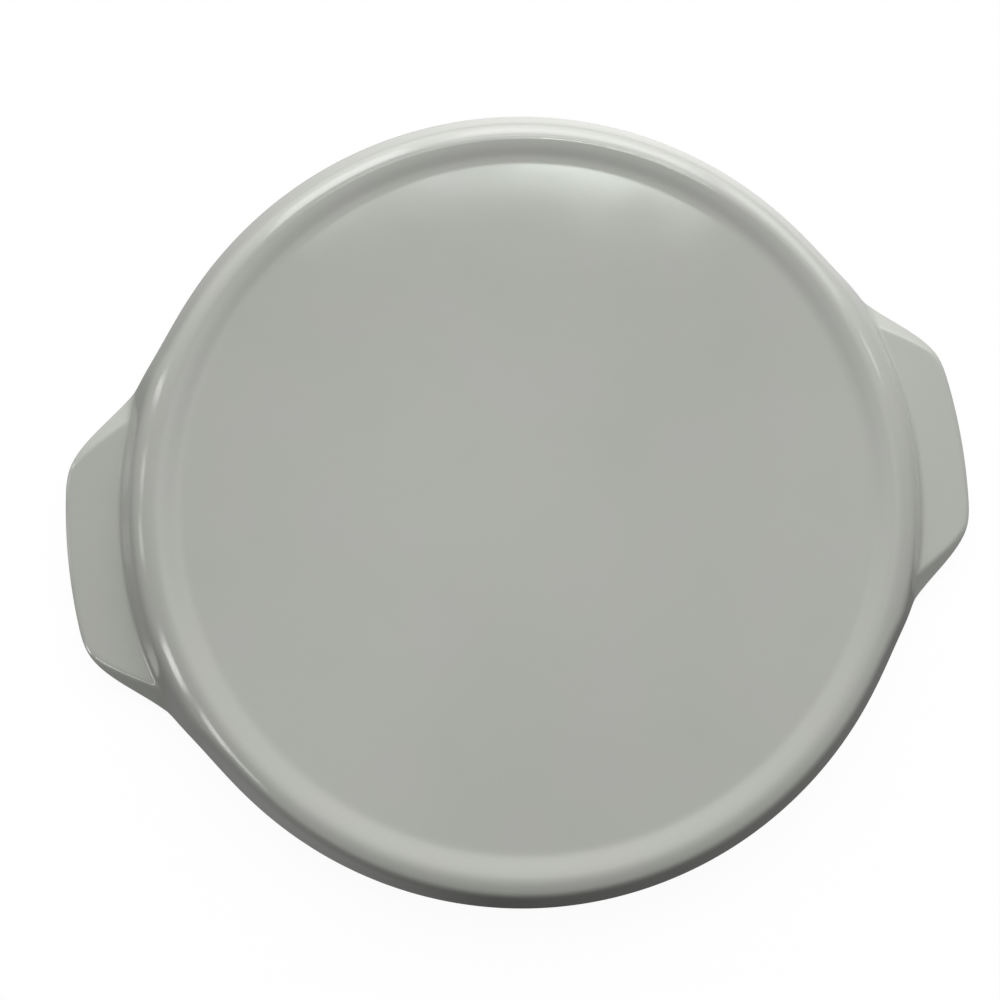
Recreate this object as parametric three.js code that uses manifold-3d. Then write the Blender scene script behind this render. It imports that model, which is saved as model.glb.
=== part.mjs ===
// Microwave pizza crisper: a pressed glass-ceramic plate with a low rim, two tab handles and moulded feet,
// and the microwave-absorbing film fired on to its underside. The origin is on the surface that the feet
// stand on, below the middle of the plate. +X runs through the handles and +Z is up.
import * as THREE from 'three';
import { mergeVertices } from 'three/addons/utils/BufferGeometryUtils.js';
import Module from 'manifold-3d';

// Driving dimensions, in millimetres and degrees

// Dish: a flat floor and a wall that rises from it through a soft cove
const floorRadius = 133.4; // where the line of the wall would meet the floor
const dishDepth = 1.7; // floor up to the crest of the rim
const wallAngle = 15; // slope of the inner wall
const wallThickness = 5.5; // floor, wall and rim
const coveBlend = 1.3; // height over which floor and wall run into each other
const crestBlend = 1.3; // height over which the wall and the crown run into each other

// Rim: a gentle crown outside the crest, then a sloping side down to an upright lip
const rimRun = 15.8; // plan width from the crest to the outer edge
const rimDrop = 13.5; // fall from the crest to the lip
const crownRadius = 19;
const sideAngle = 57; // slope of the side
const shoulderBlend = 3; // height over which the crown and the side run into each other
const rimFlare = 2.1; // how much further out the side stands at the handles
const lipFace = 6.7; // upright face of the lip
const lipRound = 1; // rounding under the lip
const lipClearance = 5.5; // lip up from the surface that the feet stand on

// Tab handles: tops lower than the lip, a bowed end and drafted flanks that run out into the rim
const tabReach = 23.6; // from the rim's outer edge to the end of the handle
const tabHalfWidth = 36.7; // from the handle's middle to the corner where end and flank would meet
const tabEndRadius = 218; // bow of the end
const tabDrop = 1.4; // top of the lip down to the handle's top
const tabAngle = 4; // fall of the handle's top towards its end
const flankAngle = 39; // flank to the handle's axis, in plan
const draftAngle = 20; // how much steeper the faces along the end and the flanks are than the top
const endDrop = 0.4; // handle's top down to its edge at the end
const rootDrop = 3.9; // handle's top down to its edge at the root of the flank
const cornerBlend = 14; // end into flank
const rootBlend = 13.5; // flank into the rim's circle
const grooveBlend = 2.6; // height over which the rim's side and the handle's top run into each other
const creaseBlend = 0.5; // handle's top into its sloping faces

// Feet: arc-shaped pads under the floor
const footCount = 4;
const footWidth = 8;
const footSpan = 24; // degrees of arc
const footInset = 10; // from the edge of the floor to the middle of the foot
const footBevel = 1;

// Film under the floor
const filmThickness = 0.4;
const filmMargin = 3; // bare ring between the film and the feet

// Facets: steps along a section, and along each stretch of a quarter of the outline
const coveSteps = 6;
const crownSteps = 2;
const shoulderSteps = 6;
const grooveSteps = 4;
const creaseSteps = 2;
const leastFlat = 0.1; // share of a narrow handle between its groove and its sloping face
const lipSteps = 2;
const endSteps = 2;
const cornerSteps = 8;
const flankSteps = 4;
const rootSteps = 8;
const rimSteps = 12;
const filmSides = 96;
const footSides = 8;

// Heights above the surface that the feet stand on
const lipTop = lipClearance + lipFace;
const crestHeight = lipTop + rimDrop;
const floorHeight = crestHeight - dishDepth;
const footHeight = floorHeight - wallThickness;
const tabTop = lipTop - tabDrop;

// Plan radii
const wallSlope = Math.tan(THREE.MathUtils.degToRad(wallAngle));
const coveReach = coveBlend / wallSlope;
const crestStart = floorRadius + dishDepth / wallSlope;
const rimRadius = crestStart + rimRun;
const tabEnd = rimRadius + tabReach;
const footRadius = floorRadius - footInset;
const filmRadius = footRadius - footWidth / 2 - filmMargin;

// The rim's side starts from the level of the crest, and shoulder and groove reach this far along it
const sideSlope = Math.tan(THREE.MathUtils.degToRad(sideAngle));
const sideStart = rimRadius - rimDrop / sideSlope;
const shoulderReach = shoulderBlend / sideSlope;
const grooveReach = grooveBlend / sideSlope;

// The undersides of wall and rim stand further out and further in, so that both are as thick as the floor
const wallShift = wallThickness * Math.tan(THREE.MathUtils.degToRad(wallAngle / 2));
const hollowStart = sideStart - wallThickness * Math.tan(THREE.MathUtils.degToRad(sideAngle / 2));
const hollowEdge = hollowStart + (footHeight + dishDepth - lipClearance) / sideSlope;

const tabSlope = Math.tan(THREE.MathUtils.degToRad(tabAngle));
const draftSlope = Math.tan(THREE.MathUtils.degToRad(draftAngle));

// Each handle's end is an arc about endCentre, and its flank a line at flankDistance from the plate's middle
const endCentre = tabEnd - tabEndRadius;
const flankNormal = THREE.MathUtils.degToRad(90 - flankAngle);
const flankDistance = tabEnd * Math.cos(flankNormal) + tabHalfWidth * Math.sin(flankNormal);
const cornerAzimuth = Math.atan2(tabHalfWidth, tabEnd);
const rootAzimuth = flankNormal - Math.acos(Math.min(flankDistance / rimRadius, 1));

// The larger and the smaller of two heights or radii, rounded where they are within a blend of each other
function smoothMax(a, b, blend) {
  const nearness = Math.max(blend - Math.abs(a - b), 0) / blend;
  return Math.max(a, b) + (blend * nearness ** 3) / 6;
}

function smoothMin(a, b, blend) {
  return -smoothMax(-a, -b, blend);
}

// Angle between an azimuth and the axis of the nearer handle, 0 to 90 degrees
function fromHandle(azimuth) {
  return Math.atan2(Math.abs(Math.sin(azimuth)), Math.abs(Math.cos(azimuth)));
}

// Plan outline, as a radius
function outlineRadius(azimuth) {
  const angle = fromHandle(azimuth);
  const sideways = endCentre * Math.sin(angle);
  const end = endCentre * Math.cos(angle) + Math.sqrt(tabEndRadius ** 2 - sideways ** 2);
  const flank = flankDistance / Math.cos(Math.min(angle - flankNormal, 0));
  return smoothMax(rimRadius, smoothMin(end, flank, cornerBlend), rootBlend);
}

// Height from the handle's top down to its edge: little along the end, more towards the root
function edgeDrop(azimuth) {
  const spread = THREE.MathUtils.smoothstep(fromHandle(azimuth), cornerAzimuth, rootAzimuth);
  return THREE.MathUtils.lerp(endDrop, rootDrop, spread);
}

// Where the rim's side starts, further out where a handle carries it
function flaredStart(azimuth) {
  return sideStart + smoothMin(outlineRadius(azimuth) - rimRadius, rimFlare, rimFlare);
}

// Section through cove, wall, crest, crown and side, above its own floor
function rimProfile(radius, wallFoot, sideFrom) {
  const cove = smoothMax(0, (radius - wallFoot) * wallSlope, coveBlend);
  const crown = Math.max(radius - crestStart, 0) ** 2 / (2 * crownRadius);
  const side = (radius - sideFrom) * sideSlope;
  return smoothMin(cove, dishDepth - smoothMax(crown, side, shoulderBlend), crestBlend);
}

// Top of a handle: slightly falling, with a sloping face down to the edge
function tabHeight(radius, azimuth) {
  const flat = tabTop - Math.max(radius - rimRadius, 0) * tabSlope;
  const drafted = flat - edgeDrop(azimuth) + (outlineRadius(azimuth) - radius) * draftSlope;
  return smoothMin(flat, drafted, creaseBlend);
}

function topHeight(radius, azimuth) {
  const rim = floorHeight + rimProfile(radius, floorRadius, flaredStart(azimuth));
  if (radius <= crestStart) return rim;
  return smoothMax(rim, tabHeight(radius, azimuth), grooveBlend);
}

function undersideHeight(radius) {
  return footHeight + rimProfile(radius, floorRadius + wallShift, hollowStart);
}

// Evenly spaced values after the start, up to and including the end
function spaced(start, end, count) {
  return Array.from({ length: count }, (empty, i) => THREE.MathUtils.lerp(start, end, (i + 1) / count));
}

// Radii across the top, close together where the section turns
function topRadii(azimuth) {
  const edge = outlineRadius(azimuth);
  const side = flaredStart(azimuth);
  const shoulderStart = (crestStart + side) / 2;
  const shoulderEnd = side + 2 * shoulderReach;
  const sideFoot = side + (rimDrop + tabDrop) / sideSlope;
  const tabSpan = edge - shoulderEnd;
  const grooveStart = Math.min(sideFoot - grooveReach, shoulderEnd + tabSpan / 4);
  const grooveEnd = Math.min(sideFoot + grooveReach, shoulderEnd + tabSpan / 2);

  const drop = edgeDrop(azimuth);
  const draftWidth = (drop + creaseBlend) / draftSlope;
  const share = Math.min(1, ((1 - leastFlat) * (edge - grooveEnd)) / draftWidth);
  const draftStart = edge - draftWidth * share;
  const crease = edge - (drop / draftSlope) * share;
  const creaseEnd = edge - (Math.max(drop - creaseBlend, drop / 2) / draftSlope) * share;

  const coveStart = floorRadius - coveReach;
  return [
    coveStart,
    ...spaced(coveStart, crestStart, coveSteps),
    ...spaced(crestStart, shoulderStart, crownSteps),
    ...spaced(shoulderStart, shoulderEnd, shoulderSteps),
    grooveStart,
    ...spaced(grooveStart, grooveEnd, grooveSteps),
    draftStart,
    ...spaced(draftStart, crease, creaseSteps),
    ...spaced(crease, creaseEnd, creaseSteps),
    edge,
  ];
}

function undersideRadii() {
  const coveStart = floorRadius + wallShift - coveReach;
  return [
    coveStart,
    ...spaced(coveStart, crestStart, coveSteps),
    ...spaced(crestStart, hollowStart + 2 * shoulderReach, shoulderSteps),
  ];
}

// Points of one section: out over the top, round the lip, and back along the underside
function sectionPoints(azimuth) {
  const points = topRadii(azimuth).map((radius) => [radius, topHeight(radius, azimuth)]);
  const [edge, edgeTop] = points[points.length - 1];
  const round = Math.min(lipRound, (edgeTop - lipClearance) / 2, (edge - hollowEdge) / 2);
  for (let i = 0; i <= lipSteps; i++) {
    const turn = (Math.PI / 2) * (i / lipSteps);
    points.push([edge - round * (1 - Math.cos(turn)), lipClearance + round * (1 - Math.sin(turn))]);
  }
  points.push([hollowEdge, lipClearance]);
  undersideRadii().reverse().forEach((radius) => points.push([radius, undersideHeight(radius)]));
  return points;
}

// Azimuths of a quarter from a handle's axis, close together where the outline turns
function quarterAzimuths() {
  const flank = rootAzimuth - cornerAzimuth;
  const stretches = [
    { steps: endSteps, end: cornerAzimuth - flank / 4 },
    { steps: cornerSteps, end: cornerAzimuth + flank / 4 },
    { steps: flankSteps, end: rootAzimuth - flank / 4 },
    { steps: rootSteps, end: rootAzimuth + flank / 2 },
    { steps: rimSteps, end: Math.PI / 2 },
  ];
  const azimuths = [];
  let start = 0;
  stretches.forEach(({ steps, end }) => {
    for (let i = 0; i < steps; i++) {
      azimuths.push(THREE.MathUtils.lerp(start, end, i / steps));
    }
    start = end;
  });
  return azimuths;
}

function allAzimuths() {
  const quarter = quarterAzimuths();
  const mirrored = quarter.slice(1).map((azimuth) => Math.PI - azimuth).reverse();
  const half = [...quarter, Math.PI / 2, ...mirrored];
  return [...half, ...half.map((azimuth) => azimuth + Math.PI)];
}

// Closed skin through the sections, with one point in the middle of the top and one in the middle below
function lofted() {
  const azimuths = allAzimuths();
  const positions = [0, 0, floorHeight, 0, 0, footHeight];
  let rings = 0;
  azimuths.forEach((azimuth) => {
    const points = sectionPoints(azimuth);
    rings = points.length;
    points.forEach(([radius, height]) => {
      positions.push(radius * Math.cos(azimuth), radius * Math.sin(azimuth), height);
    });
  });
  const vertex = (section, ring) => 2 + (section % azimuths.length) * rings + ring;
  const index = [];
  for (let section = 0; section < azimuths.length; section++) {
    index.push(0, vertex(section, 0), vertex(section + 1, 0));
    for (let ring = 0; ring < rings - 1; ring++) {
      const near = vertex(section, ring);
      const far = vertex(section, ring + 1);
      const nextNear = vertex(section + 1, ring);
      const nextFar = vertex(section + 1, ring + 1);
      index.push(near, far, nextFar, near, nextFar, nextNear);
    }
    index.push(1, vertex(section + 1, rings - 1), vertex(section, rings - 1));
  }
  const geometry = new THREE.BufferGeometry();
  geometry.setAttribute('position', new THREE.Float32BufferAttribute(positions, 3));
  geometry.setIndex(index);
  return geometry;
}

// Pad with rounded edges, let into the floor above it
function footGeometry(middle) {
  const half = THREE.MathUtils.degToRad(footSpan) / 2;
  const inner = footRadius - footWidth / 2 + footBevel;
  const outer = footRadius + footWidth / 2 - footBevel;
  const trim = footBevel / footRadius;
  const pad = new THREE.Shape();
  pad.absarc(0, 0, outer, middle - half + trim, middle + half - trim, false);
  pad.absarc(0, 0, inner, middle + half - trim, middle - half + trim, true);
  pad.closePath();
  const letIn = wallThickness / 2;
  const geometry = new THREE.ExtrudeGeometry(pad, {
    depth: footHeight + letIn - 2 * footBevel,
    bevelThickness: footBevel,
    bevelSize: footBevel,
    bevelSegments: 2,
    curveSegments: footSides,
  });
  return geometry.translate(0, 0, footBevel);
}

const wasm = await Module();
wasm.setup();

function solid(geometry) {
  const bare = geometry.clone();
  bare.deleteAttribute('normal');
  bare.deleteAttribute('uv');
  const merged = mergeVertices(bare, 1e-4);
  return new wasm.Manifold(new wasm.Mesh({
    numProp: 3,
    vertProperties: new Float32Array(merged.attributes.position.array),
    triVerts: new Uint32Array(merged.index.array),
  }));
}

function toGeometry(manifold) {
  const mesh = manifold.getMesh();
  const geometry = new THREE.BufferGeometry();
  geometry.setAttribute('position', new THREE.BufferAttribute(mesh.vertProperties, 3));
  geometry.setIndex(new THREE.BufferAttribute(mesh.triVerts, 1));
  geometry.computeVertexNormals();
  return geometry;
}

function platePiece() {
  let plate = solid(lofted());
  for (let i = 0; i < footCount; i++) {
    const middle = ((i + 0.5) / footCount) * 2 * Math.PI;
    plate = plate.add(solid(footGeometry(middle)));
  }
  const material = new THREE.MeshStandardMaterial({ color: 0xadaea9, roughness: 0.25, metalness: 0 });
  const mesh = new THREE.Mesh(toGeometry(plate), material);
  mesh.name = 'glass_ceramic_plate';
  return mesh;
}

// The film lies against the flat underside of the floor, inside the ring of feet
function filmPiece() {
  const disc = new THREE.CylinderGeometry(filmRadius, filmRadius, filmThickness, filmSides);
  disc.rotateX(Math.PI / 2);
  disc.translate(0, 0, footHeight - filmThickness / 2);
  const material = new THREE.MeshStandardMaterial({ color: 0x6f6a60, roughness: 0.35, metalness: 0.2 });
  const mesh = new THREE.Mesh(disc, material);
  mesh.name = 'tin_oxide_coating';
  return mesh;
}

const crisper = new THREE.Group();
crisper.add(platePiece(), filmPiece());

export default crisper;
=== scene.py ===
import math

import bpy
from mathutils import Matrix, Vector


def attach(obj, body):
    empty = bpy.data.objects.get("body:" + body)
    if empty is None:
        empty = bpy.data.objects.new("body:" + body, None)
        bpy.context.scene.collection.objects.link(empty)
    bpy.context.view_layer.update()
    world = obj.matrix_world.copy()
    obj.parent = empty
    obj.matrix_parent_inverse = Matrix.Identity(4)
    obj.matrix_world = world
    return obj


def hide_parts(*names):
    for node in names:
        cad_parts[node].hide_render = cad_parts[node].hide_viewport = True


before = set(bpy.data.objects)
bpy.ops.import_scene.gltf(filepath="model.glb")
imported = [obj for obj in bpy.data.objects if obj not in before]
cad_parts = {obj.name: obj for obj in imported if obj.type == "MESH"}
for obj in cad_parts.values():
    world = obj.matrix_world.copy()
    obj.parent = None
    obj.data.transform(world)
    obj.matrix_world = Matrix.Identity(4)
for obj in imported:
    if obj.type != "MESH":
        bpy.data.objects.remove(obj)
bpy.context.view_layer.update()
print("frame loaded:", sorted(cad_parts))

mm = 0.001
weldGap = 0.001 * mm


class Flow:
    # a socket that adds Math nodes as an expression is worked out
    def __init__(self, kit, socket):
        self.kit = kit
        self.socket = socket

    def out(self, name):
        return Flow(self.kit, self.socket.node.outputs[name])

    def __add__(self, other):
        return self.kit.maths("ADD", self, other)

    def __radd__(self, other):
        return self.kit.maths("ADD", other, self)

    def __sub__(self, other):
        return self.kit.maths("SUBTRACT", self, other)

    def __rsub__(self, other):
        return self.kit.maths("SUBTRACT", other, self)

    def __mul__(self, other):
        return self.kit.maths("MULTIPLY", self, other)

    def __rmul__(self, other):
        return self.kit.maths("MULTIPLY", other, self)

    def __truediv__(self, other):
        return self.kit.maths("DIVIDE", self, other)

    def __rtruediv__(self, other):
        return self.kit.maths("DIVIDE", other, self)

    def __neg__(self):
        return self.kit.maths("MULTIPLY", self, -1.0)

    def __abs__(self):
        return self.kit.maths("ABSOLUTE", self)


class NodeKit:
    # fills one node tree
    def __init__(self, tree):
        self.tree = tree
        self.tree.nodes.clear()

    def add(self, kind, settings=None, inputs=None):
        node = self.tree.nodes.new(kind)
        for name, value in (settings or {}).items():
            if name == "stops":
                self.setStops(node.color_ramp, value)
            else:
                setattr(node, name, value)
        for name, value in (inputs or {}).items():
            for one in value if isinstance(value, list) else [value]:
                if isinstance(one, Flow):
                    self.tree.links.new(one.socket, node.inputs[name])
                else:
                    node.inputs[name].default_value = one
        return Flow(self, node.outputs[0]) if node.outputs else node

    def setStops(self, ramp, stops):
        while len(ramp.elements) < len(stops):
            ramp.elements.new(1.0)
        for element, (place, colour) in zip(ramp.elements, stops):
            element.position = place
            element.color = colour

    def maths(self, operation, *values):
        return self.add("ShaderNodeMath", {"operation": operation}, dict(enumerate(values)))

    def smoothMax(self, a, b, blend):
        return self.maths("SMOOTH_MAX", a, b, blend)

    def smoothMin(self, a, b, blend):
        return self.maths("SMOOTH_MIN", a, b, blend)

    def ramped(self, value, low, high):
        return self.add(
            "ShaderNodeMapRange",
            {"interpolation_type": "SMOOTHSTEP"},
            {"Value": value, "From Min": low, "From Max": high},
        )

    def objectPlace(self):
        return self.add("ShaderNodeTexCoord").out("Object")

    def noise(self, place, scale, detail=2.0):
        return self.add("ShaderNodeTexNoise", None, {"Vector": place, "Scale": scale, "Detail": detail})

    def bump(self, height, depth, under=None):
        inputs = {"Height": height, "Distance": depth, "Strength": 1.0}
        if under:
            inputs["Normal"] = under
        return self.add("ShaderNodeBump", None, inputs)

    def tinted(self, value, stops):
        return self.add("ShaderNodeValToRGB", {"stops": stops}, {"Fac": value})

    def scaled(self, colour, factor):
        return self.add("ShaderNodeVectorMath", {"operation": "SCALE"}, {0: colour, "Scale": factor})

    def closeSkin(self, skins, material):
        # the bands of a skin become one closed smooth mesh; a join counts its links from the last
        joined = self.add("GeometryNodeJoinGeometry", None, {"Geometry": skins[::-1]})
        closed = self.add("GeometryNodeMergeByDistance", None, {"Geometry": joined, "Distance": weldGap})
        smooth = self.add("GeometryNodeSetShadeSmooth", None, {"Geometry": closed})
        real = self.add("GeometryNodeRealizeInstances", None, {"Geometry": smooth})
        dressed = self.add("GeometryNodeSetMaterial", None, {"Geometry": real, "Material": material})
        self.add("NodeGroupOutput", None, {"Geometry": dressed})


def addObject(name, data):
    thing = bpy.data.objects.new(name, data)
    bpy.context.scene.collection.objects.link(thing)
    return thing


# Plate: sizes in millimetres, angles in degrees; a blend is the height or length over which two faces merge
plate = {
    "floorRadius": 133.4,     # to the foot of the wall
    "dishDepth": 1.7,         # floor below the crest
    "wallAngle": 15.0,
    "wallThickness": 5.5,
    "coveBlend": 0.8,
    "crestBlend": 1.3,
    "rimRun": 15.8,           # from the crest out to the lip
    "rimDrop": 13.5,          # from the crest down to the lip
    "crownRadius": 19.0,
    "sideAngle": 57.0,
    "shoulderBlend": 3.0,
    "rimFlare": 2.1,          # how far the rim's side stands out above a handle
    "lipFace": 6.7,           # height of the upright lip
    "lipRound": 1.0,
    "lipClearance": 5.5,      # lip above the feet
    "tabReach": 23.6,         # handle beyond the rim
    "tabHalfWidth": 36.7,
    "tabEndRadius": 218.0,
    "tabDrop": 1.4,           # handle's top below the top of the lip
    "tabAngle": 4.0,          # its fall outwards
    "flankAngle": 39.0,
    "draftAngle": 20.0,       # sloping faces round the handle
    "endDrop": 0.4,
    "rootDrop": 3.9,
    "cornerBlend": 14.0,
    "rootBlend": 13.5,
    "grooveBlend": 1.6,
    "creaseBlend": 0.5,
    "footCount": 4.0,
    "footWidth": 8.0,
    "footLength": 50.0,
    "footInset": 10.0,        # inside the foot of the wall
    "footRound": 2.0,
    "footDraft": 2.0,
}


class PlateRule:
    # heights and radii of the pressed plate as node expressions, all in metres and radians
    def __init__(self, kit, size):
        self.kit = kit
        for name, value in size.items():
            setattr(self, name, value)
        self.wallSlope = kit.maths("TANGENT", self.wallAngle)
        self.lipTop = self.lipClearance + self.lipFace
        self.crestHeight = self.lipTop + self.rimDrop
        self.floorHeight = self.crestHeight - self.dishDepth
        self.footHeight = self.floorHeight - self.wallThickness
        self.tabTop = self.lipTop - self.tabDrop
        self.coveReach = self.coveBlend / self.wallSlope
        self.crestStart = self.floorRadius + self.dishDepth / self.wallSlope
        self.rimRadius = self.crestStart + self.rimRun
        self.tabEnd = self.rimRadius + self.tabReach
        self.footRadius = self.floorRadius - self.footInset
        self.wallShift = self.wallThickness * kit.maths("TANGENT", self.wallAngle / 2)
        self.flankNormal = math.pi / 2 - self.flankAngle
        across = self.tabHalfWidth * kit.maths("SINE", self.flankNormal)
        self.flankDistance = self.tabEnd * kit.maths("COSINE", self.flankNormal) + across
        self.cornerAzimuth = kit.maths("ARCTAN2", self.tabHalfWidth, self.tabEnd)
        self.rootAzimuth = self.flankNormal - kit.maths("ARCCOSINE", self.flankDistance / self.rimRadius)
        self.sideSlope = kit.maths("TANGENT", self.sideAngle)
        self.sideStart = self.crestStart + self.rimRun - self.rimDrop / self.sideSlope
        self.sideShift = self.wallThickness * kit.maths("TANGENT", self.sideAngle / 2)
        self.tabSlope = kit.maths("TANGENT", self.tabAngle)
        self.draftSlope = kit.maths("TANGENT", self.draftAngle)

    def follow(self, azimuth):
        # everything that depends on the azimuth alone
        kit = self.kit
        sine = kit.maths("SINE", azimuth)
        cosine = kit.maths("COSINE", azimuth)
        angle = kit.maths("ARCTAN2", abs(sine), abs(cosine))
        endCentre = self.tabEnd - self.tabEndRadius
        sideways = endCentre * sine
        bow = kit.maths("SQRT", self.tabEndRadius * self.tabEndRadius - sideways * sideways)
        end = endCentre * abs(cosine) + bow
        turn = kit.maths("MINIMUM", angle - self.flankNormal, 0.0)
        flank = self.flankDistance / kit.maths("COSINE", turn)
        tab = kit.smoothMin(end, flank, self.cornerBlend)
        self.azimuth = azimuth
        self.sine = sine
        self.cosine = cosine
        self.edge = kit.smoothMax(self.rimRadius, tab, self.rootBlend)
        self.flare = kit.smoothMin(self.edge - self.rimRadius, self.rimFlare, self.rimFlare)
        # the sloping faces are narrow at the handle's end and open out fast past its corner
        spread = kit.maths("SQRT", kit.ramped(angle, self.cornerAzimuth, self.rootAzimuth))
        self.edgeDrop = self.endDrop + (self.rootDrop - self.endDrop) * spread

    def rimProfile(self, radius, wallFoot, sideStart):
        # cove and wall up to the crest, a gentle crown, and the rim's side falling away at its angle
        kit = self.kit
        cove = kit.smoothMax(0.0, (radius - wallFoot) * self.wallSlope, self.coveBlend)
        beyond = kit.maths("MAXIMUM", radius - self.crestStart, 0.0)
        crown = beyond * beyond / (2.0 * self.crownRadius)
        side = (radius - sideStart) * self.sideSlope
        outer = self.dishDepth - kit.smoothMax(crown, side, self.shoulderBlend)
        return kit.smoothMin(cove, outer, self.crestBlend)

    def top(self, radius):
        kit = self.kit
        rim = self.floorHeight + self.rimProfile(radius, self.floorRadius, self.sideStart + self.flare)
        flat = self.tabTop + kit.maths("MINIMUM", self.rimRadius - radius, 0.0) * self.tabSlope
        drafted = flat - self.edgeDrop + (self.edge - radius) * self.draftSlope
        tab = kit.smoothMin(flat, drafted, self.creaseBlend)
        outside = kit.maths("GREATER_THAN", radius, self.crestStart)
        return rim + outside * (kit.smoothMax(rim, tab, self.grooveBlend) - rim)

    def foot(self, radius):
        # depth of the pads below the floor: flat soles with sloping sides
        kit = self.kit
        share = kit.maths("FRACT", self.azimuth * self.footCount / math.tau) - 0.5
        along = abs(share) * math.tau / self.footCount * radius - self.footLength / 2
        across = abs(radius - self.footRadius) - self.footWidth / 2
        outside = kit.smoothMax(along, across, self.footRound)
        return self.footHeight * kit.ramped(-outside, 0.0, self.footDraft)

    def underside(self, radius):
        kit = self.kit
        sideStart = self.sideStart - self.sideShift
        profile = self.rimProfile(radius, self.floorRadius + self.wallShift, sideStart)
        lowest = kit.maths("MAXIMUM", self.footHeight + profile, self.lipClearance)
        return lowest - self.foot(radius)


def groupTree(name, sizes):
    # an empty tree with one named float input for each size
    tree = bpy.data.node_groups.new(name, "GeometryNodeTree")
    kit = NodeKit(tree)
    tree.interface.new_socket("Geometry", in_out="INPUT", socket_type="NodeSocketGeometry")
    tree.interface.new_socket("Geometry", in_out="OUTPUT", socket_type="NodeSocketGeometry")
    for size in sizes:
        tree.interface.new_socket(size, in_out="INPUT", socket_type="NodeSocketFloat")
    given = kit.add("NodeGroupInput")
    return tree, kit, {size: given.out(size) for size in sizes}


def bakeTree(tree, pieceName, values):
    # runs the tree on an empty mesh and keeps the result as a plain mesh
    piece = addObject(pieceName, bpy.data.meshes.new(pieceName))
    modifier = piece.modifiers.new(tree.name, "NODES")
    modifier.node_group = tree
    for item in tree.interface.items_tree:
        if item.in_out == "INPUT" and item.name in values:
            modifier[item.identifier] = values[item.name]
    evaluated = piece.evaluated_get(bpy.context.evaluated_depsgraph_get())
    mesh = bpy.data.meshes.new_from_object(evaluated)
    piece.modifiers.remove(modifier)
    piece.data = mesh
    mesh.name = pieceName
    return piece


def asMetres(size):
    # millimetres to metres and degrees to radians, counts as they are
    scale = {"Angle": math.radians(1.0), "Count": 1.0}
    return {
        name: value * next((s for tail, s in scale.items() if name.endswith(tail)), mm)
        for name, value in size.items()
    }


# rings of each band of the plate's skin, from the middle of the top to the middle of the underside
bands = {
    "floor": 4,
    "wall": 52,
    "tab": 46,
    "lip": 8,
    "hollow": 30,
    "feet": 36,
    "belly": 4,
}
sectorCount = 480
domeShare = 0.8        # how much of the rim's run belongs to the wall's band
endGather = 0.12       # how far the tab's rings are drawn to the ends of their band


def skinBand(kit, rule, rings, place):
    # one band of the skin, from a grid that runs from -0.5 to 0.5 both ways:
    # place turns the share across the band into a radius and a height
    grid = kit.add(
        "GeometryNodeMeshGrid",
        None,
        {"Size X": 1.0, "Size Y": 1.0, "Vertices X": rings, "Vertices Y": sectorCount + 1},
    )
    flat = kit.add("ShaderNodeSeparateXYZ", None, {0: kit.add("GeometryNodeInputPosition")})
    rule.follow((flat.out("Y") + 0.5) * math.tau)
    radius, height = place(flat.out("X") + 0.5)
    spot = kit.add(
        "ShaderNodeCombineXYZ",
        None,
        {"X": radius * rule.cosine, "Y": radius * rule.sine, "Z": height},
    )
    return kit.add("GeometryNodeSetPosition", None, {"Geometry": grid, "Position": spot})


def between(share, start, end):
    return start + (end - start) * share


def denseEnds(share):
    # draws the rings together at both ends of a band
    return share - endGather * share.kit.maths("SINE", share * math.tau)


def plateTree(material):
    tree, kit, size = groupTree("pressed plate", plate)
    rule = PlateRule(kit, size)
    coveStart = rule.floorRadius - rule.coveReach
    domeEnd = rule.crestStart + rule.rimRun * domeShare
    feetStart = rule.footRadius - rule.footWidth
    feetEnd = rule.footRadius + rule.footWidth

    def floorBand(share):
        radius = coveStart * share
        return radius, rule.top(radius)

    def wallBand(share):
        radius = between(share, coveStart, domeEnd)
        return radius, rule.top(radius)

    def tabBand(share):
        radius = between(denseEnds(share), domeEnd, rule.edge)
        return radius, rule.top(radius)

    def lipBand(share):
        face = rule.top(rule.edge)
        turn = kit.maths("MAXIMUM", share * 2.0 - 1.0, 0.0) * (math.pi / 2)
        down = kit.maths("MINIMUM", share * 2.0, 1.0)
        radius = rule.edge - rule.lipRound * (1.0 - kit.maths("COSINE", turn))
        upright = between(down, face, rule.lipClearance + rule.lipRound)
        return radius, upright - rule.lipRound * kit.maths("SINE", turn)

    def hollowBand(share):
        radius = between(share, rule.edge - rule.lipRound, feetEnd)
        return radius, rule.underside(radius)

    def feetBand(share):
        radius = between(share, feetEnd, feetStart)
        return radius, rule.underside(radius)

    def bellyBand(share):
        radius = feetStart * (1.0 - share)
        return radius, rule.underside(radius)

    places = [floorBand, wallBand, tabBand, lipBand, hollowBand, feetBand, bellyBand]
    skins = [skinBand(kit, rule, rings, place) for rings, place in zip(bands.values(), places)]
    kit.closeSkin(skins, material)
    return tree


def newMaterial(name):
    material = bpy.data.materials.new(name)
    material.use_nodes = True
    return material, NodeKit(material.node_tree)


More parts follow.
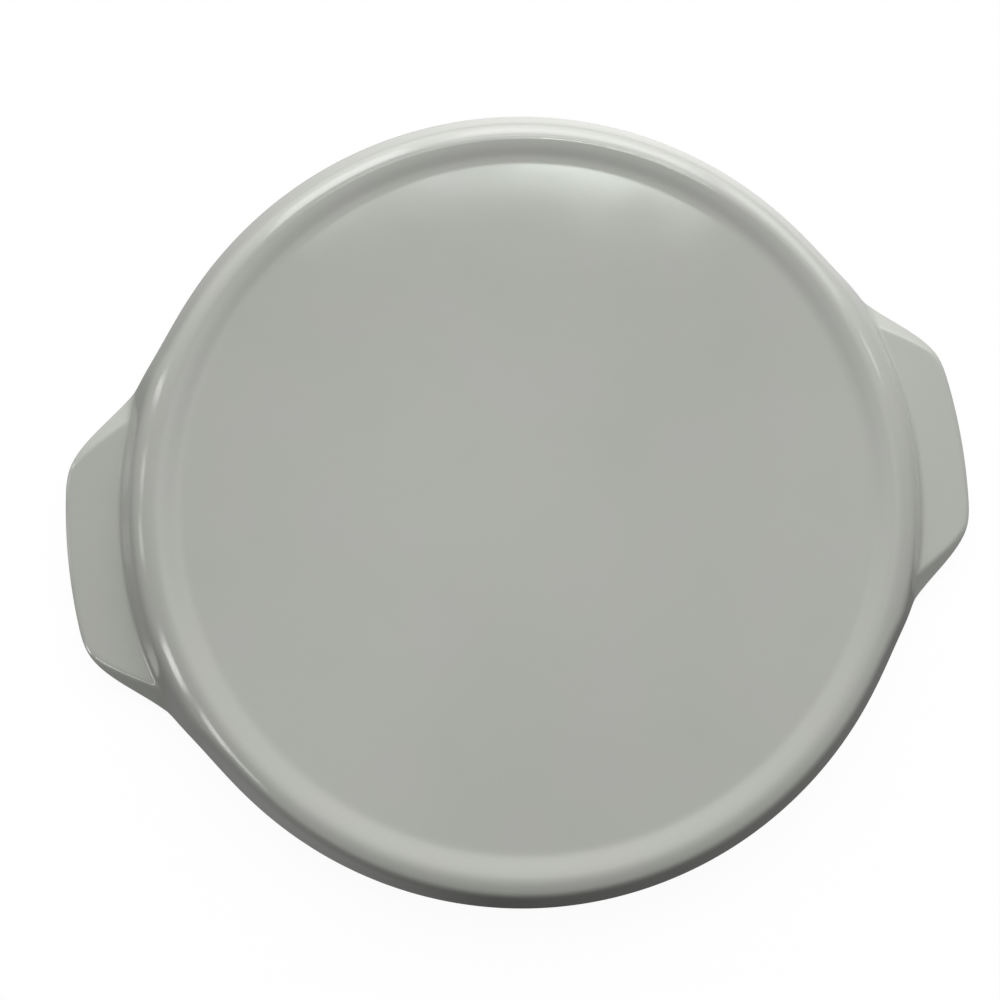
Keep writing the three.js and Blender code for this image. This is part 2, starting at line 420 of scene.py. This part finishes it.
# Finish of the plate: noise scales per metre, depths in millimetres
ceramic = {
    "tints": [(0.3, (0.395, 0.401, 0.373, 1.0)), (0.7, (0.405, 0.401, 0.381, 1.0))],
    "tintScale": 34.0,
    "cloudScale": 16.0,
    "cloudTone": 0.05,
    "cloudRoughness": 0.04,
    "grainScale": 1300.0,
    "grainTone": 0.03,
    "roughness": 0.125,
    "wipeTurn": (0.0, 0.0, 0.5),         # radians
    "wipeScale": (25.0, 700.0, 25.0),
    "wipeSpan": (0.6, 0.8),              # the noise from which a mark starts, and is full
    "wipeRoughness": 0.03,
    "waveScale": 42.0,
    "waveDepth": 0.07,
    "skinScale": 900.0,
    "skinDepth": 0.0012,
    "ior": 1.53,
}


def glassCeramic():
    material, kit = newMaterial("grey glass ceramic")
    place = kit.objectPlace()
    clouds = kit.noise(place, ceramic["cloudScale"], detail=3.0) - 0.5
    grain = kit.noise(place, ceramic["grainScale"]) - 0.5
    tint = kit.tinted(kit.noise(place, ceramic["tintScale"]), ceramic["tints"])
    tone = 1.0 + clouds * ceramic["cloudTone"] + grain * ceramic["grainTone"]

    # faint wiping marks: long and thin, and only where the noise is high
    stretch = {"Vector": place, "Rotation": ceramic["wipeTurn"], "Scale": ceramic["wipeScale"]}
    wiped = kit.add("ShaderNodeMapping", None, stretch)
    marks = kit.ramped(kit.noise(wiped, 1.0), *ceramic["wipeSpan"])
    gloss = ceramic["roughness"] + clouds * ceramic["cloudRoughness"] + marks * ceramic["wipeRoughness"]

    # pressed glass is a little wavy, with a fine skin from the mould
    wave = kit.bump(kit.noise(place, ceramic["waveScale"], detail=1.0), ceramic["waveDepth"] * mm)
    skin = kit.bump(kit.noise(place, ceramic["skinScale"]), ceramic["skinDepth"] * mm, wave)
    shader = kit.add(
        "ShaderNodeBsdfPrincipled",
        None,
        {"Base Color": kit.scaled(tint, tone), "Roughness": gloss, "IOR": ceramic["ior"], "Normal": skin},
    )
    kit.add("ShaderNodeOutputMaterial", None, {"Surface": shader})
    return material


def buildPlate():
    tree = plateTree(glassCeramic())
    piece = bakeTree(tree, "plate", asMetres(plate))
    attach(piece, "root")
    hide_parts("glass_ceramic_plate")
    print("plate:", len(piece.data.polygons), "faces")


buildPlate()


# Film: sprayed on to the flat underside, inside the ring of feet
film = {
    "filmThickness": 0.4,
    "filmMargin": 3.0,
    "filmRound": 0.3,
}
filmBands = {"back": 3, "edge": 8, "front": 12}


def filmTree(material):
    tree, kit, size = groupTree("fired film", plate | film)
    rule = PlateRule(kit, size)
    outer = rule.footRadius - rule.footWidth / 2 - rule.filmMargin
    lowest = rule.footHeight - rule.filmThickness

    def backBand(share):
        return outer * share, rule.footHeight

    def edgeBand(share):
        turn = share * (math.pi / 2)
        inward = rule.filmRound * (1.0 - kit.maths("COSINE", turn))
        return outer - inward, rule.footHeight - rule.filmThickness * kit.maths("SINE", turn)

    def frontBand(share):
        return (outer - rule.filmRound) * (1.0 - share), lowest

    places = [backBand, edgeBand, frontBand]
    skins = [skinBand(kit, rule, rings, place) for rings, place in zip(filmBands.values(), places)]
    kit.closeSkin(skins, material)
    return tree


# Finish of the film: noise scales per metre, lengths in millimetres
oxide = {
    "tints": [
        (0.30, (0.145, 0.130, 0.112, 1.0)),
        (0.48, (0.162, 0.148, 0.118, 1.0)),
        (0.62, (0.150, 0.135, 0.142, 1.0)),
        (0.90, (0.205, 0.203, 0.196, 1.0)),
    ],
    "driftScale": 22.0,
    "thinFrom": 90.0,         # from the middle
    "thinTo": 118.0,
    "thinning": 0.35,
    "speckleScale": 1600.0,
    "speckleDepth": 0.004,
    "darkestTone": 0.85,
    "speckleTone": 0.3,
    "roughness": 0.24,
    "speckleRoughness": 0.16,
    "metallic": 0.3,
    "ior": 1.9,
}


def tinOxide():
    # a thin fired film: its thickness drifts, which tints it a little, and it thins out towards its edge
    material, kit = newMaterial("tin oxide film")
    place = kit.objectPlace()
    across = kit.add("ShaderNodeVectorMath", {"operation": "LENGTH"}, {0: place}).out("Value")
    thinned = kit.ramped(across, oxide["thinFrom"] * mm, oxide["thinTo"] * mm)
    drift = kit.noise(place, oxide["driftScale"], detail=3.0) + thinned * oxide["thinning"]
    tint = kit.tinted(drift, oxide["tints"])
    speckle = kit.noise(place, oxide["speckleScale"])
    shader = kit.add(
        "ShaderNodeBsdfPrincipled",
        None,
        {
            "Base Color": kit.scaled(tint, oxide["darkestTone"] + speckle * oxide["speckleTone"]),
            "Roughness": oxide["roughness"] + speckle * oxide["speckleRoughness"],
            "Metallic": oxide["metallic"],
            "IOR": oxide["ior"],
            "Normal": kit.bump(speckle, oxide["speckleDepth"] * mm),
        },
    )
    kit.add("ShaderNodeOutputMaterial", None, {"Surface": shader})
    return material


def buildFilm():
    piece = bakeTree(filmTree(tinOxide()), "film", asMetres(plate | film))
    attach(piece, "root")
    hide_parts("tin_oxide_coating")
    print("film:", len(piece.data.polygons), "faces")


buildFilm()


# Camera: where the view is taken from, in millimetres in the plate's frame
camera = {
    "standAt": (-29.4, -12.9, 407.1),
    "lookAt": (4.9, 20.6, 12.2),
    "upAzimuth": 8.0,      # degrees from +Y towards +X
    "lens": 36.18,
    "sensorWidth": 36.0,
    "nearClip": 10.0,
    "shift": (-0.0378, -0.0555),
}


def placeCamera():
    data = bpy.data.cameras.new("camera")
    data.lens = camera["lens"]
    data.sensor_width = camera["sensorWidth"]
    data.shift_x, data.shift_y = camera["shift"]
    data.clip_start = camera["nearClip"] * mm
    eye = addObject("camera", data)
    stand = Vector(camera["standAt"]) * mm
    back = (stand - Vector(camera["lookAt"]) * mm).normalized()
    turn = math.radians(camera["upAzimuth"])
    right = Vector((math.sin(turn), math.cos(turn), 0.0)).cross(back).normalized()
    up = back.cross(right)
    eye.matrix_world = Matrix.Translation(stand) @ Matrix((right, up, back)).transposed().to_4x4()
    bpy.context.scene.camera = eye
    print("camera set")


placeCamera()


# Studio: azimuths in degrees from the far side, positive to the right; elevations above the floor
studio = {
    "farAzimuth": 8.0,      # from +Y towards +X
    "floorSpan": 9000.0,
    "floorGap": 0.2,        # below the feet
    "floorPaint": 0.95,
    "floorGlow": 0.95,      # share of its white that is its own
    "floorBounce": 0.06,    # paint where the plate doesn't see it white
    "lampDistance": 8000.0,
}

# soft light of the surround: azimuth, elevation, how far it fades out in each, radiance
glows = {
    "far windows": (3.0, 32.0, 84.0, 42.0, 5.1),
    "right wall": (88.0, 59.0, 75.0, 24.0, 0.85),
    "near left wall": (-145.0, 68.0, 55.0, 28.0, 0.42),
    "ceiling": (0.0, 90.0, 360.0, 24.0, 0.95),
}

# where the plate sees the floor white, as the camera does; this is painted light, the floor glowing white
# towards the lit far side to stand in for light falling on it: azimuth, how far it fades out, share
floorSeen = {
    "far side": (12.0, 102.0, 1.0),
    "near left": (-140.0, 48.0, 0.44),
    "near right": (152.0, 80.0, 0.12),
}

# window panes: azimuth, elevation, width and height in degrees, radiance
paneTint = (0.92, 1.0, 0.94)
panes = {
    "head far left": (-24.0, 69.0, 4.0, 3.0, 3.0),
    "head left": (-5.0, 67.9, 12.0, 3.0, 7.0),
    "head middle": (16.0, 66.5, 6.0, 3.2, 14.5),
    "head right": (29.0, 65.2, 4.6, 3.2, 12.0),
    "transom": (12.0, 57.0, 22.0, 6.0, 4.0),
    "far left": (-26.0, 45.0, 17.0, 16.0, 4.6),
    "far right": (46.0, 36.0, 19.0, 14.0, 1.8),
}

# panes that only show as gleams on the rim, as above
gleamTint = (1.0, 1.0, 1.0)
gleams = {
    "far middle": (11.0, 41.0, 29.0, 14.0, 2.6),
    "far sill": (0.0, 7.0, 80.0, 10.0, 0.9),
    "left 1": (-70.3, 30.0, 3.4, 12.0, 5.6),
    "left 2": (-83.6, 33.5, 5.4, 7.0, 3.6),
    "left 3": (-94.2, 31.5, 5.4, 7.0, 3.3),
    "left 4": (-114.4, 33.4, 6.6, 11.0, 8.2),
    "left 5": (-127.0, 38.8, 5.4, 8.5, 6.8),
    "left 6": (-134.0, 40.8, 6.0, 6.5, 3.8),
    "right 1": (66.5, 34.8, 5.4, 6.0, 3.2),
}


def farDirection(azimuth, elevation):
    turn = math.radians(studio["farAzimuth"] + azimuth)
    rise = math.radians(elevation)
    return Vector((math.cos(rise) * math.sin(turn), math.cos(rise) * math.cos(turn), math.sin(rise)))


def awayFrom(kit, towards, azimuth):
    # angle round the plate between a direction and an azimuth, in radians
    def along(turn):
        dot = kit.add(
            "ShaderNodeVectorMath",
            {"operation": "DOT_PRODUCT"},
            {0: towards, 1: farDirection(azimuth + turn, 0.0)},
        )
        return dot.out("Value")

    return abs(kit.maths("ARCTAN2", along(90.0), along(0.0)))


def faded(kit, away, reach):
    # 1 in the middle of a light, 0 from its reach on
    return kit.ramped(away, math.radians(reach), 0.0)


def painted(kit, level):
    return kit.add("ShaderNodeBsdfDiffuse", None, {"Color": (level, level, level, 1.0)})


def floorMaterial():
    material, kit = newMaterial("pale floor")
    spot = kit.add("ShaderNodeNewGeometry").out("Position")
    seen = kit.add("ShaderNodeLightPath").out("Is Camera Ray")
    # painted light: to the plate the floor glows white in the lit directions and stays dark elsewhere,
    # standing in for the light that falls on it
    for azimuth, reach, share in floorSeen.values():
        seen = kit.maths("MAXIMUM", seen, share * faded(kit, awayFrom(kit, spot, azimuth), reach))
    bare = painted(kit, studio["floorBounce"])
    pale = painted(kit, studio["floorPaint"])
    glow = kit.add("ShaderNodeEmission", None, {"Color": (1.0, 1.0, 1.0, 1.0), "Strength": 1.0})
    white = kit.add("ShaderNodeMixShader", None, {0: studio["floorGlow"], 1: pale, 2: glow})
    shader = kit.add("ShaderNodeMixShader", None, {0: seen, 1: bare, 2: white})
    kit.add("ShaderNodeOutputMaterial", None, {"Surface": shader})
    return material


def hangPane(name, tint, azimuth, elevation, width, height, radiance):
    distance = studio["lampDistance"] * mm
    lamp = bpy.data.lights.new(name, "AREA")
    lamp.shape = "RECTANGLE"
    lamp.color = tint
    lamp.size = 2 * distance * math.tan(math.radians(width / 2))
    lamp.size_y = 2 * distance * math.tan(math.radians(height / 2))
    lamp.energy = radiance * math.pi * lamp.size * lamp.size_y
    hung = addObject(name, lamp)
    hung.location = farDirection(azimuth, elevation) * distance
    hung.rotation_euler = (-hung.location).to_track_quat("-Z", "Y").to_euler()
    return hung


def surroundWorld():
    world = bpy.data.worlds.new("surround")
    world.use_nodes = True
    kit = NodeKit(world.node_tree)
    sight = kit.add("ShaderNodeTexCoord").out("Generated")
    rise = kit.maths("ARCSINE", kit.add("ShaderNodeSeparateXYZ", None, {0: sight}).out("Z"))
    strength = 0.0
    for azimuth, elevation, reachRound, reachUp, radiance in glows.values():
        sideways = faded(kit, awayFrom(kit, sight, azimuth), reachRound)
        upward = faded(kit, abs(rise - math.radians(elevation)), reachUp)
        strength = strength + radiance * sideways * upward
    byCamera = kit.add("ShaderNodeLightPath").out("Is Camera Ray")
    strength = strength + byCamera * (1.0 - strength)
    sky = kit.add("ShaderNodeBackground", None, {"Color": (1.0, 1.0, 1.0, 1.0), "Strength": strength})
    kit.add("ShaderNodeOutputWorld", None, {"Surface": sky})
    bpy.context.scene.world = world


def buildStudio():
    half = studio["floorSpan"] * mm / 2
    mesh = bpy.data.meshes.new("floor")
    corners = [(-half, -half, 0.0), (half, -half, 0.0), (half, half, 0.0), (-half, half, 0.0)]
    mesh.from_pydata(corners, [], [(0, 1, 2, 3)])
    mesh.materials.append(floorMaterial())
    floor = addObject("floor", mesh)
    floor.location.z = -studio["floorGap"] * mm
    for name, values in panes.items():
        hangPane(name, paneTint, *values)
    for name, values in gleams.items():
        hangPane(name, gleamTint, *values).visible_diffuse = False
    surroundWorld()
    bpy.context.scene.view_settings.view_transform = "Standard"
    print("studio:", len(panes) + len(gleams), "panes")


buildStudio()
